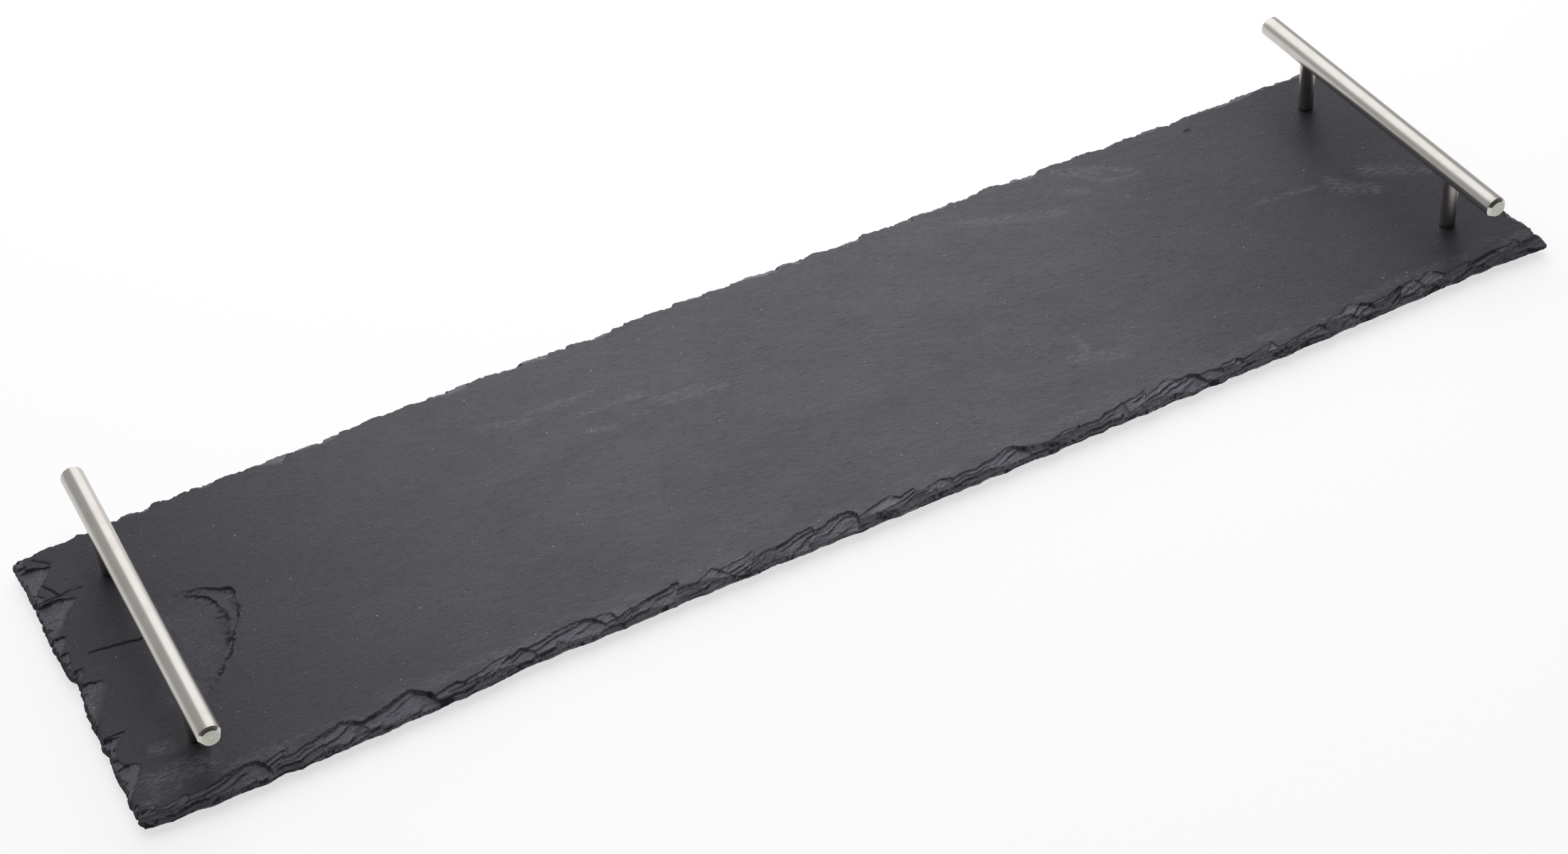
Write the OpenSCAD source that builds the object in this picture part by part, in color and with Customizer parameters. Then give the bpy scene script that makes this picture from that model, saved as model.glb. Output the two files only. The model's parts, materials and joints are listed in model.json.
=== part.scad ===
/* [Slate] */
// Overall length of the slate, along X
slate_len = 600; // [450:1:800]
// Overall width of the slate, along Y
slate_w = 158; // [135:1:240]
// Thickness of the slate
slate_t = 5; // [4:0.1:8]
// Most that the outline wanders in from a straight side
wander = 5; // [1:0.1:7]
// Deepest bite of the chipped edge into the top face along a long side
side_bite = 6; // [3:0.1:12]
// Deepest bite of the chipped edge into the top face at an end
end_bite = 17; // [6:0.1:20]
// Least slope left on the edge between two bites
edge_slope = 0.9; // [0.4:0.1:2]
// How far the outline is worn in at a corner
corner_wear = 2; // [0:0.1:4]
// Bite taken out of the top face at a corner, beyond the bites along its sides
corner_bite = 4; // [0:0.1:6]
// Length along a side over which a corner's wear and bite fade out
corner_len = 14; // [6:0.5:25]
// Length of one small chip along the outline
chip_len = 13; // [8:0.5:25]
// Depth of the small chips along the outline
chip_depth = 0.8; // [0:0.1:1.5]

/* [Handles] */
// Diameter of the handle bars
bar_d = 9; // [8:0.1:14]
// Length of the handle bars, along Y
bar_len = 156; // [130:1:230]
// Chamfer round each end of a bar
bar_chamfer = 1.2; // [0.4:0.1:2]
// Height of a bar's axis over the top face of the slate
bar_rise = 26; // [22:0.5:45]
// Diameter of the posts
post_d = 6.5; // [5.6:0.1:7.5]
// Chamfer round the foot of a post
post_chamfer = 0.5; // [0.2:0.1:0.8]
// Distance between the axes of one handle's two posts
post_spacing = 98; // [80:1:110]
// Distance from the left end of the slate to the left handle
left_inset = 32; // [24:1:60]
// Distance from the right end of the slate to the right handle
right_inset = 28; // [24:1:60]
// Width of the turned grooves in the end faces of a bar
groove_w = 0.3; // [0.1:0.05:0.4]
// Depth of the turned grooves in the end faces of a bar
groove_depth = 0.15; // [0.05:0.05:0.3]

/* [Fasteners] */
// Diameter of the machine screws and of the studs
screw_d = 4; // [3:0.1:4.5]
// Length of a machine screw under its head
screw_len = 14; // [12:0.5:16]
// Diameter of a screw's low round head
head_d = 8; // [7:0.1:9]
// Height of a screw's low round head
head_h = 2; // [1.6:0.1:2.2]
// Length of one arm of the cross recess in a screw's head
recess_len = 4.4; // [3:0.1:5]
// Width of one arm of the cross recess
recess_w = 1; // [0.6:0.1:1.2]
// Depth of the cross recess
recess_depth = 1.2; // [0.6:0.1:1.4]
// Diameter of the steel washers
washer_d = 10; // [9:0.1:12]
// Thickness of the steel washers
washer_t = 0.8; // [0.5:0.1:1]
// Diameter of the fibre washers that keep the steel off the slate
fibre_d = 11; // [10:0.1:13]
// Thickness of the fibre washers
fibre_t = 0.6; // [0.3:0.1:0.8]
// Length of the part of a stud that is inside its post
stud_in_post = 6; // [4:0.5:6.5]
// Length of the part of a stud that is inside its bar
stud_in_bar = 5; // [3:0.5:6]
// Chamfer at the ends of the studs and screws
thread_chamfer = 0.5; // [0.2:0.1:0.8]

/* [Feet] */
// Diameter of a foot where it's stuck to the slate
foot_d = 12; // [9:0.1:18]
// Diameter of a foot's flat underside
foot_base_d = 10; // [7:0.1:14]
// Height of the feet
foot_h = 4; // [3.8:0.1:8]
// Rounding between a foot's side and its underside
foot_round = 0.8; // [0.3:0.1:1.2]
// Distance from the middle of a foot to the end of the slate
foot_from_end = 62; // [50:1:100]
// Distance from the middle of a foot to the long side of the slate
foot_from_side = 24; // [18:1:35]

/* [Fits] */
// Added to a diameter for a hole that a screw passes through
through_clear = 0.5; // [0.3:0.1:1]
// Added to a diameter for a hole that a thread screws into
thread_clear = 0.1; // [0.04:0.02:0.3]
// Gap between the saddle of a post and its bar
saddle_clear = 0.05; // [0.02:0.01:0.2]
// Depth that a blind hole goes past the end of its thread
drill_spare = 0.5; // [0.2:0.1:1]

/* [Hidden] */

// Length that a cutting shape runs past the face it cuts
over = 1;
// Smoothness of the round parts
$fn = 64;

// The board stands on z = 0, and its middle is over the origin
slate_z = foot_h;
top_z = slate_z + slate_t;
bar_z = top_z + bar_rise;
left_x = left_inset - slate_len / 2;
right_x = slate_len / 2 - right_inset;
front_y = -post_spacing / 2;
rear_y = post_spacing / 2;
// Height where the wall of a post runs into the side of its bar
post_top_z = bar_z - sqrt(pow(bar_d / 2, 2) - pow(post_d / 2, 2));
// The washers hang under the slate, and the screw's head under them
fibre_z = slate_z - fibre_t;
washer_z = fibre_z - washer_t;
// Under a bar, a stud starts this far below the bar's lowest line
stud_z = bar_z - bar_d / 2 - stud_in_post;
stud_len = stud_in_post + stud_in_bar;

// How far the outline lies in from a straight side, in shares of wander,
// at even steps from left to right, or from the front to the back
front_wander_share = [0.35, 0, 0.05, 0.1, 0.25, 0.6, 0.45, 0.5, 0.4, 0.3, 0.2,
    0.2, 0.1, 0.15, 0.1, 0.1, 0.05, 0.15, 0.2, 0.25, 0.15];
rear_wander_share = [0.6, 0.35, 0.15, 0.2, 0.1, 0, 0.05, 0.05, 0.1, 0.1, 0.1,
    0.2, 0.4, 0.5, 0.6, 0.65, 0.8, 0.9, 1, 1, 0.95];
left_wander_share = [0.1, 0.1, 0.2, 0.2, 0.4, 0.1, 0, 0.15, 0.1];
right_wander_share = [0.3, 0.05, 0, 0.3, 0.2, 0.3, 0.1, 0.3, 0.4];

// Bites that dressing took out of the top face, one after another along a side:
// the share of the side where a bite ends, and its depth as a share of the deepest
front_bite_share = [[0.055, 0.6], [0.117, 0.7], [0.19, 0.85], [0.29, 0.65], [0.377, 0.85],
    [0.45, 0.7], [0.493, 0.65], [0.56, 0.9], [0.617, 0.7], [0.655, 0.7], [0.683, 0.55],
    [0.725, 0.7], [0.772, 0.55], [0.797, 0.5], [0.87, 0.75], [0.91, 0.55], [0.94, 0.6], [1, 0.75]];
rear_bite_share = [[0.05, 0.5], [0.12, 0.6], [0.17, 0.35], [0.24, 0.55], [0.3, 0.45], [0.38, 0.6],
    [0.46, 0.4], [0.53, 0.55], [0.6, 0.6], [0.66, 0.4], [0.73, 0.65], [0.79, 0.5], [0.86, 0.6],
    [0.92, 0.45], [1, 0.7]];
left_bite_share = [[0.17, 0.85], [0.22, 0.15], [0.38, 0.4], [0.525, 0.55], [0.65, 0.25],
    [0.87, 1], [1, 0.5]];
right_bite_share = [[0.1, 0.35], [0.22, 0.45], [0.35, 0.3], [0.5, 0.45], [0.62, 0.3],
    [0.75, 0.4], [0.88, 0.35], [1, 0.5]];

// Profile of the chipped edge from the outline up to the top face:
// each step's share of the thickness, and its share of the bite.
// A low step is a ledge where a layer of the slate broke off, a high one is its broken face.
rise_share = [0.28, 0.07, 0.28, 0.08, 0.29];
tread_share = [0.1, 0.3, 0.1, 0.36, 0.14];
// How much a step's share of the bite swings along the edge, and the length
// of that swing, in shares of a chip's length
swing_share = 0.8;
swing_len_share = [2.6, 1.7, 3.4, 2.1, 1.3];
// Angle by which each step's swing starts later than the one below
swing_turn = 77;
// Share by which neighbouring chips differ in length, and after how many chips it repeats
chip_vary_share = 0.35;
chip_repeat = 5;
// Where in a bite its deepest point lies: above 1 is past the middle
bite_skew = 1.3;
// Length of one facet along the edge, as a share of a chip's length
facet_share = 0.33;

facet_len = chip_len * facet_share;
along = ceil(slate_len / facet_len);
across = ceil(slate_w / facet_len);
steps = len(rise_share);
// The flat faces are laid with small tiles at each end, for this many steps along,
// so that a deep bite bends no tile over its neighbour
patch_share = 1.4;
patch = ceil(patch_share * (end_bite + wander + corner_wear + corner_bite) / facet_len);

// Sum of the first n values of a list
function total(list, n) = n == 0 ? 0 : list[n - 1] + total(list, n - 1);

// Value between two neighbours of an even list, eased like half a wave
function eased(list, s) =
    let (at = min(s, 1) * (len(list) - 1), i = min(floor(at), len(list) - 2), t = at - i)
    list[i] + (list[i + 1] - list[i]) * (1 - cos(180 * t)) / 2;

// Small chips along the outline: hollows that meet in points
function chips(len_along) =
    let (n = len_along / chip_len)
    chip_depth * abs(sin(180 * (n + chip_vary_share * sin(360 * n / chip_repeat))));

// Depth of the bite at share s of a side
function bite(list, s, i = 0) =
    s > list[i][0] && i < len(list) - 1 ? bite(list, s, i + 1) :
    let (start = i == 0 ? 0 : list[i - 1][0], t = (s - start) / (list[i][0] - start))
    list[i][1] * sin(180 * pow(max(t, 0), bite_skew));

// Share of the bite that the profile has reached at a level, swinging along the edge
function step_width(len_along, k) =
    tread_share[k] * (1 + swing_share
        * sin(360 * len_along / (chip_len * swing_len_share[k]) + swing_turn * k));
function reached(len_along, level) =
    let (widths = [for (k = [0:steps - 1]) step_width(len_along, k)])
    total(widths, level) / total(widths, steps);

// How near a point of a side is to a corner: 1 at the corner, 0 past corner_len
function nearness(len_along, side_len) =
    pow(max(1 - min(len_along, side_len - len_along) / corner_len, 0), 2);

// Distance in from a straight side, at a level of the profile
function inset(wander_list, bite_list, deepest, side_len, s, level) =
    let (len_along = side_len * s, near = nearness(len_along, side_len))
    wander * eased(wander_list, s) + chips(len_along) + corner_wear * near
    + (edge_slope + deepest * bite(bite_list, s) + corner_bite * near) * reached(len_along, level);

function front_inset(u, level) =
    inset(front_wander_share, front_bite_share, side_bite, slate_len, u, level);
function rear_inset(u, level) =
    inset(rear_wander_share, rear_bite_share, side_bite, slate_len, u, level);
function left_inset_at(v, level) =
    inset(left_wander_share, left_bite_share, end_bite, slate_w, v, level);
function right_inset_at(v, level) =
    inset(right_wander_share, right_bite_share, end_bite, slate_w, v, level);

// Point of a level's outline: u runs from left to right and v from front to back
function edge_point(u, v, level) =
    let (x0 = left_inset_at(v, level), x1 = slate_len - right_inset_at(v, level),
        y0 = front_inset(u, level), y1 = slate_w - rear_inset(u, level))
    [x0 + u * (x1 - x0), y0 + v * (y1 - y0)];

// A level's outline, counter-clockwise from the front left corner
function outline(level) = concat(
    [for (i = [0:along - 1]) edge_point(i / along, 0, level)],
    [for (i = [0:across - 1]) edge_point(1, i / across, level)],
    [for (i = [0:along - 1]) edge_point(1 - i / along, 1, level)],
    [for (i = [0:across - 1]) edge_point(0, 1 - i / across, level)]);

// The widest outline is stretched to the slate's length and width and centred
widest = outline(0);
low_x = min([for (p = widest) p.x]);
high_x = max([for (p = widest) p.x]);
low_y = min([for (p = widest) p.y]);
high_y = max([for (p = widest) p.y]);
function placed(p, level) = [
    ((p.x - low_x) / (high_x - low_x) - 1 / 2) * slate_len,
    ((p.y - low_y) / (high_y - low_y) - 1 / 2) * slate_w,
    slate_z + slate_t * total(rise_share, level) / total(rise_share, steps)];

// Places in an outline's list. End 0 is the left one and end 1 the right one,
// i counts from that end along the board and j from the front to the back.
function front_at(end, i) = end == 0 ? i : along - i;
function rear_at(end, i) = along + across + (end == 0 ? along - i : i);
function side_at(end, j) = end == 1 ? along + j : (2 * along + 2 * across - j) % len(widest);

// Point of an end's patch, between the outline on three sides and a straight line across the board
function patch_point(o, end, i, j) =
    let (t = i / patch, v = j / across,
        f0 = o[front_at(end, 0)], f1 = o[front_at(end, patch)],
        r0 = o[rear_at(end, 0)], r1 = o[rear_at(end, patch)])
    (1 - t) * o[side_at(end, j)] + t * (f1 + v * (r1 - f1))
    + (1 - v) * o[front_at(end, i)] + v * o[rear_at(end, i)]
    - (1 - v) * ((1 - t) * f0 + t * f1) - v * ((1 - t) * r0 + t * r1);

// Points inside both patches of a flat face, and the place of one in their list
function patch_points(o) = [for (end = [0, 1], i = [1:patch], j = [1:across - 1])
    patch_point(o, end, i, j)];
function patch_at(rim, inner, end, i, j) =
    j == 0 ? rim + front_at(end, i) :
    j == across ? rim + rear_at(end, i) :
    i == 0 ? rim + side_at(end, j) :
    inner + (end * patch + i - 1) * (across - 1) + j - 1;

// Tiles of a flat face, counter-clockwise: the patches, one tile where each patch ends,
// and tiles right across the board between them
function tiles(rim, inner) = concat(
    [for (i = [0:patch - 1], j = [0:across - 1]) [for (c = [[0, 0], [1, 0], [1, 1], [0, 1]])
        patch_at(rim, inner, 0, i + c.x, j + c.y)]],
    [for (i = [0:patch - 1], j = [0:across - 1]) [for (c = [[0, 0], [0, 1], [1, 1], [1, 0]])
        patch_at(rim, inner, 1, i + c.x, j + c.y)]],
    [concat([rim + front_at(0, patch + 1), rim + rear_at(0, patch + 1)],
        [for (j = [across:-1:0]) patch_at(rim, inner, 0, patch, j)])],
    [for (i = [patch + 1:along - patch - 2]) [rim + front_at(0, i), rim + front_at(0, i + 1),
        rim + rear_at(0, i + 1), rim + rear_at(0, i)]],
    [concat([rim + rear_at(1, patch + 1), rim + front_at(1, patch + 1)],
        [for (j = [0:across]) patch_at(rim, inner, 1, patch, j)])]);
// The same tile clockwise, from the same corner
function turned_over(tile) = concat([tile[0]], [for (i = [len(tile) - 1:-1:1]) tile[i]]);

// Stone, lofted through the outlines of all levels
module stone() {
    rims = [for (level = [0:steps]) [for (p = outline(level)) placed(p, level)]];
    n = len(widest);
    inner = (steps + 1) * n;
    points = concat([for (rim = rims) each rim],
        patch_points(rims[0]), patch_points(rims[steps]));
    walls = [for (level = [0:steps - 1]) for (i = [0:n - 1])
        let (a = level * n + i, b = level * n + (i + 1) % n)
        each [[a, a + n, b + n], [a, b + n, b]]];
    under = tiles(0, inner);
    upper = [for (tile = tiles(steps * n, inner + len(patch_points(rims[0])))) turned_over(tile)];
    polyhedron(points, concat(under, walls, upper));
}

module slate_board() {
    color([0.37, 0.37, 0.39])
    difference() {
        stone();
        for (x = [left_x, right_x])
            for (y = [front_y, rear_y])
                translate([x, y, slate_z - over])
                cylinder(d = screw_d + through_clear, h = slate_t + 2 * over);
    }
}

// Half section of a bar: chamfered ends with two turned grooves in each end face
face_r = bar_d / 2 - bar_chamfer;
groove_at_share = [0.35, 0.72];
function end_face(z, way) = [for (share = groove_at_share, step = [0:3])
    [face_r * share + (step < 2 ? 0 : groove_w),
        z - way * (step == 1 || step == 2 ? groove_depth : 0)]];

function reversed(list) = [for (i = [len(list) - 1:-1:0]) list[i]];

module bar_stock() {
    rotate_extrude()
    polygon(concat(
        [[0, bar_len / 2]],
        end_face(bar_len / 2, 1),
        [[face_r, bar_len / 2], [bar_d / 2, bar_len / 2 - bar_chamfer],
        [bar_d / 2, bar_chamfer - bar_len / 2], [face_r, -bar_len / 2]],
        reversed(end_face(-bar_len / 2, -1)),
        [[0, -bar_len / 2]]));
}

module handle_bar(x) {
    color([0.8, 0.79, 0.77])
    difference() {
        translate([x, 0, bar_z])
        rotate([90, 0, 0])
        bar_stock();
        for (y = [front_y, rear_y])
            translate([x, y, bar_z - bar_d / 2 - over])
            cylinder(d = screw_d + thread_clear, h = over + stud_in_bar + drill_spare);
    }
}

// A post has a saddle on top for its bar, and a blind tapped hole at each end
module post(x, y) {
    color([0.6, 0.59, 0.57])
    difference() {
        translate([x, y, 0])
        rotate_extrude()
        polygon([[0, top_z], [post_d / 2 - post_chamfer, top_z],
            [post_d / 2, top_z + post_chamfer], [post_d / 2, post_top_z], [0, post_top_z]]);
        translate([x, y, bar_z])
        rotate([90, 0, 0])
        cylinder(d = bar_d + 2 * saddle_clear, h = post_d + 2 * over, center = true, $fn = 96);
        translate([x, y, stud_z - drill_spare])
        cylinder(d = screw_d + thread_clear, h = bar_z - stud_z);
        translate([x, y, top_z - over])
        cylinder(d = screw_d + thread_clear, h = over + screw_in_post + drill_spare);
    }
}
screw_in_post = screw_len - fibre_t - washer_t - slate_t;

// Rod with a chamfer at each end that is asked for
module rod(z, h, low_chamfer) {
    rotate_extrude()
    polygon([[0, z], [screw_d / 2 - low_chamfer, z], [screw_d / 2, z + low_chamfer],
        [screw_d / 2, z + h - thread_chamfer], [screw_d / 2 - thread_chamfer, z + h], [0, z + h]]);
}

module stud(x, y) {
    color([0.7, 0.7, 0.72])
    translate([x, y, 0])
    rod(stud_z, stud_len, thread_chamfer);
}

// The head's dome is part of a ball that spans its width and height
head_ball_r = (pow(head_d / 2, 2) + pow(head_h, 2)) / (2 * head_h);
module screw(x, y) {
    color([0.75, 0.75, 0.77])
    translate([x, y, 0])
    difference() {
        union() {
            rod(washer_z, screw_len, 0);
            intersection() {
                translate([0, 0, washer_z - head_h + head_ball_r])
                sphere(r = head_ball_r);
                translate([0, 0, washer_z - head_h])
                cylinder(d = head_d, h = head_h);
            }
        }
        for (turn = [0, 90])
            rotate([0, 0, turn])
            translate([-recess_len / 2, -recess_w / 2, washer_z - head_h - over])
            cube([recess_len, recess_w, over + recess_depth]);
    }
}

module ring(x, y, z, outer_d, thick) {
    translate([x, y, z])
    difference() {
        cylinder(d = outer_d, h = thick);
        translate([0, 0, -over])
        cylinder(d = screw_d + through_clear, h = thick + 2 * over);
    }
}

module washer(x, y) {
    color([0.72, 0.72, 0.74])
    ring(x, y, washer_z, washer_d, washer_t);
}

module fibre_washer(x, y) {
    color([0.5, 0.22, 0.16])
    ring(x, y, fibre_z, fibre_d, fibre_t);
}

// A foot tapers down to its flat underside, with a rounded rim
foot_arc_steps = 6;
module foot(side, depth) {
    wall = foot_base_d / 2;
    color([0.12, 0.12, 0.12])
    translate([side * (slate_len / 2 - foot_from_end), depth * (slate_w / 2 - foot_from_side), 0])
    rotate_extrude()
    polygon(concat(
        [[0, 0]],
        [for (i = [0:foot_arc_steps])
            let (a = 90 * i / foot_arc_steps)
            [wall - foot_round + foot_round * sin(a), foot_round - foot_round * cos(a)]],
        [[foot_d / 2, foot_h], [0, foot_h]]));
}

slate_board();
handle_bar(left_x);  // left_handle_bar
handle_bar(right_x);  // right_handle_bar
post(left_x, front_y);  // left_front_post
post(left_x, rear_y);  // left_rear_post
post(right_x, front_y);  // right_front_post
post(right_x, rear_y);  // right_rear_post
stud(left_x, front_y);  // left_front_stud
stud(left_x, rear_y);  // left_rear_stud
stud(right_x, front_y);  // right_front_stud
stud(right_x, rear_y);  // right_rear_stud
screw(left_x, front_y);  // left_front_screw
screw(left_x, rear_y);  // left_rear_screw
screw(right_x, front_y);  // right_front_screw
screw(right_x, rear_y);  // right_rear_screw
washer(left_x, front_y);  // left_front_washer
washer(left_x, rear_y);  // left_rear_washer
washer(right_x, front_y);  // right_front_washer
washer(right_x, rear_y);  // right_rear_washer
fibre_washer(left_x, front_y);  // left_front_fibre_washer
fibre_washer(left_x, rear_y);  // left_rear_fibre_washer
fibre_washer(right_x, front_y);  // right_front_fibre_washer
fibre_washer(right_x, rear_y);  // right_rear_fibre_washer
foot(-1, -1);  // left_front_foot
foot(-1, 1);  // left_rear_foot
foot(1, -1);  // right_front_foot
foot(1, 1);  // right_rear_foot
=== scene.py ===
"""Slate serving board: a long slab of riven slate with a round steel bar handle at each end.

Lengths are metres, except where a name ends in _mm.
The file is laid out as an add-on, and it is run as a script.
"""

import json
import math

import bmesh
import bpy
import numpy as np
from mathutils import Matrix, Vector, noise
from mathutils.bvhtree import BVHTree

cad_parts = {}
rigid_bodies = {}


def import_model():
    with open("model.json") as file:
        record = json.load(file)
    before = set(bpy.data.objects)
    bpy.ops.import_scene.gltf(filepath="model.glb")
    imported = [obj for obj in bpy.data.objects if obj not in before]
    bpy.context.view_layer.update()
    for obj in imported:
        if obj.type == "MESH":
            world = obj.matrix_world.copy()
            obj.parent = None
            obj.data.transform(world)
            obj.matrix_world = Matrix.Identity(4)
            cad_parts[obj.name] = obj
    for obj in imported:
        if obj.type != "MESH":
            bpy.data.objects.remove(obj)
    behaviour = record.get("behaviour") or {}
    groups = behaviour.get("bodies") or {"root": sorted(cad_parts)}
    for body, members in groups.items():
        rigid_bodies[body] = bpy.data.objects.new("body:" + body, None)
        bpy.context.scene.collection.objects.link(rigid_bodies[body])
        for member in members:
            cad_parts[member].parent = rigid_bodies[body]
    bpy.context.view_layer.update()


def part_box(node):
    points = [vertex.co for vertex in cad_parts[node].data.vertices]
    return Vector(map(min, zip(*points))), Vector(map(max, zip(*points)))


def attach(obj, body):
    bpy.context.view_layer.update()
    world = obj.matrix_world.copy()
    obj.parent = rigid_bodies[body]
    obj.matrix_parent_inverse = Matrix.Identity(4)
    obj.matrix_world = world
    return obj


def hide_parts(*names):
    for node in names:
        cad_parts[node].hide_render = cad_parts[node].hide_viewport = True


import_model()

bl_info = {
    "name": "Slate serving board",
    "version": (1, 0, 0),
    "blender": (4, 5, 0),
    "location": "3D View > Sidebar > Slate board",
    "description": "Builds a riven slate serving board with steel bar handles",
    "category": "Object",
}

MM = 0.001
# Points closer than this become one, in a new shell and after a cut
SHELL_MERGE = 0.0001 * MM
CUT_MERGE = 0.001 * MM
# Room round a stud, a screw or a bar in what was cut for it, and how far past it the cut goes
HOLE_ROOM = 0.05 * MM
PAST_END = 0.5 * MM
UP = Vector((0, 0, 1))
ALONG_BAR = Vector((0, 1, 0))
ENDS = ("left", "right")
POSTS = ("left_front", "left_rear", "right_front", "right_rear")
PLAIN_FASTENERS = ("stud", "screw", "washer")


def linear(hex_colour):
    """Linear colour, with alpha, from an sRGB hex value"""
    parts = [int(hex_colour[i:i + 2], 16) / 255 for i in (1, 3, 5)]
    return tuple(c / 12.92 if c <= 0.04045 else ((c + 0.055) / 1.055) ** 2.4 for c in parts) + (1.0,)


def colour_property(name, description, hex_colour):
    """Colour that a user may change"""
    return bpy.props.FloatVectorProperty(name=name, description=description, subtype="COLOR", size=4,
                                         min=0.0, max=1.0, default=linear(hex_colour))


def length_property(name, description, length_mm):
    """Length that a user may change"""
    return bpy.props.FloatProperty(name=name, description=description, subtype="DISTANCE", unit="LENGTH",
                                   min=0.0, default=length_mm * MM, precision=5)


def level_property(name, description, level, most=10.0):
    """Level of light that a user may change"""
    return bpy.props.FloatProperty(name=name, description=description, min=0.0, max=most, default=level)


class SLATEBOARD_PG_stone(bpy.types.PropertyGroup):
    """Sizes and colours of the slate"""
    dark: colour_property("Dark bed", "Colour of the darker beds in the slate", "#221F23")
    light: colour_property("Light bed", "Colour of the lighter beds in the slate", "#474349")
    bruise: colour_property("Bruise", "Colour where the slate is scuffed or crushed", "#6F6E73")
    fresh: colour_property("Fresh break", "Colour of the broken rim's treads", "#807D86")
    fleck: colour_property("Fleck", "Colour of the pale mineral flecks", "#D2D0CC")
    top_wave: length_property("Top wave", "Height of the slow waves in the riven face", 0.1)
    rim_roughness: length_property("Rim roughness", "How far the broken rim wanders inwards", 0.45)
    scar_step: length_property("Scar step", "Height of the curved step on the left of the face", 0.42)


class SLATEBOARD_PG_steel(bpy.types.PropertyGroup):
    """Sizes and colours of the handles"""
    bar: colour_property("Bar", "Colour of the brushed bars", "#CDCAC5")
    bar_end: colour_property("Bar end", "Colour of the turned end faces", "#C2C6B8")
    post: colour_property("Post", "Colour of the turned posts", "#B4B0AA")
    fastener: colour_property("Fastener", "Colour of the studs, screws and washers", "#C9C9CB")
    chamfer: length_property("Bar chamfer", "Chamfer round each end of a bar", 1.2)
    ring_depth: length_property("Ring depth", "Depth of the turned rings in a bar's end", 0.09)


class SLATEBOARD_PG_fittings(bpy.types.PropertyGroup):
    """Colours of the hidden fittings"""
    fibre: colour_property("Fibre", "Colour of the fibre washers", "#6B2A1F")
    rubber: colour_property("Rubber", "Colour of the feet", "#262626")
    foot_round: length_property("Foot rounding", "Rounding round a foot's flat underside", 0.8)


class SLATEBOARD_PG_stage(bpy.types.PropertyGroup):
    """Floor, lights and camera"""
    floor: colour_property("Floor", "Colour of the floor", "#BCBCBC")
    glow: level_property("Floor glow", "How white the floor looks by itself", 0.66, 1.0)
    room: level_property("Room light", "Level of the plain light behind", 0.5)
    back: level_property("Back light", "Brightness of the soft box behind", 1.15)
    top: level_property("Top light", "Brightness of the soft box overhead", 1.2)


# ---- materials

def add_node(tree, kind, inputs=(), **settings):
    """Add a shader node. Settings holds its own choices, and inputs holds values, or what feeds it: a
    socket, or a node by its first output"""
    made = tree.nodes.new("ShaderNode" + kind)
    for name, value in settings.items():
        setattr(made, name, value)
    for socket, value in dict(inputs).items():
        if isinstance(value, bpy.types.Node):
            value = value.outputs[0]
        if isinstance(value, bpy.types.NodeSocket):
            tree.links.new(value, made.inputs[socket])
        else:
            made.inputs[socket].default_value = value
    return made


def new_material(name):
    """Material with an empty node tree"""
    material = bpy.data.materials.new(name)
    material.use_nodes = True
    material.node_tree.nodes.clear()
    return material, material.node_tree


def finish_material(tree, shader_inputs):
    """Principled shader and output"""
    shader = add_node(tree, "BsdfPrincipled", shader_inputs)
    add_node(tree, "OutputMaterial", {"Surface": shader})


# Colours that a user would leave alone: painted shade at the board's ends, dark cracks and dashes with
# painted shade on steep faces and steps, and the tint of the slate's shine
PAINTED_END_SHADE = linear("#161316")
CRACK_AND_SHADE_DARK = linear("#121113")
COOL_SHEEN = linear("#EFEFFE")
# Steel where the polish has a warm cast
WARM_STEEL = linear("#A3917F")


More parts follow.
